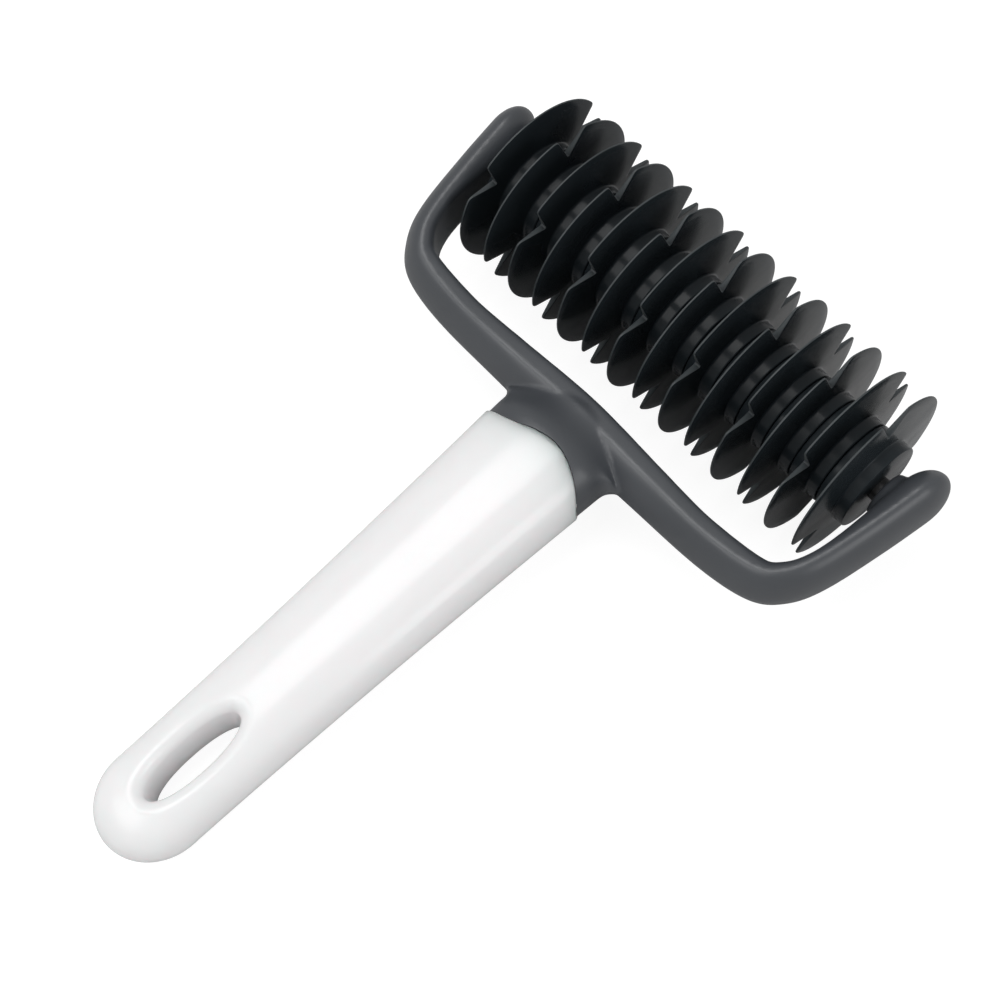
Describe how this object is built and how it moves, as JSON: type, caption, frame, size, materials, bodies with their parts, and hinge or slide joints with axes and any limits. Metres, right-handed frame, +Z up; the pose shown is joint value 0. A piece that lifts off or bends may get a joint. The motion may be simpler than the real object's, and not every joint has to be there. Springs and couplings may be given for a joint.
{
  "type": "lattice roller cutter",
  "caption": "Hand-held lattice dough cutter: a row of notched discs rolls freely in a U-shaped yoke with a straight handle that ends in a hanging hole.",
  "frame": {"origin": "under the middle of the outer box, on the table that the tool lies on", "axes": "+X along the roller's axle, +Y from the handle's tail to the roller, +Z up from the table"},
  "size_m": [0.129, 0.1799, 0.042],
  "materials": {
    "yoke_grey_plastic": "satin dark grey",
    "handle_white_plastic": "glossy white",
    "axle_black_plastic": "satin black",
    "disc_black_plastic": "glossy black"
  },
  "bodies": {
    "yoke_and_handle": {"yoke_frame": "yoke_grey_plastic", "handle": "handle_white_plastic"},
    "roller": {"roller_axle": "axle_black_plastic", "cutter_disc_01": "disc_black_plastic", "cutter_disc_02": "disc_black_plastic", "cutter_disc_03": "disc_black_plastic", "cutter_disc_04": "disc_black_plastic", "cutter_disc_05": "disc_black_plastic", "cutter_disc_06": "disc_black_plastic", "cutter_disc_07": "disc_black_plastic", "cutter_disc_08": "disc_black_plastic", "cutter_disc_09": "disc_black_plastic", "cutter_disc_10": "disc_black_plastic", "cutter_disc_11": "disc_black_plastic", "cutter_disc_12": "disc_black_plastic", "cutter_disc_13": "disc_black_plastic", "cutter_disc_14": "disc_black_plastic"}
  },
  "joints": [
    {"name": "roller_spin", "type": "hinge", "parent": "yoke_and_handle", "child": "roller", "pos_m": [-0.00045, 0.06898, 0.021], "axis": [1, 0, 0], "continuous": true}
  ]
}
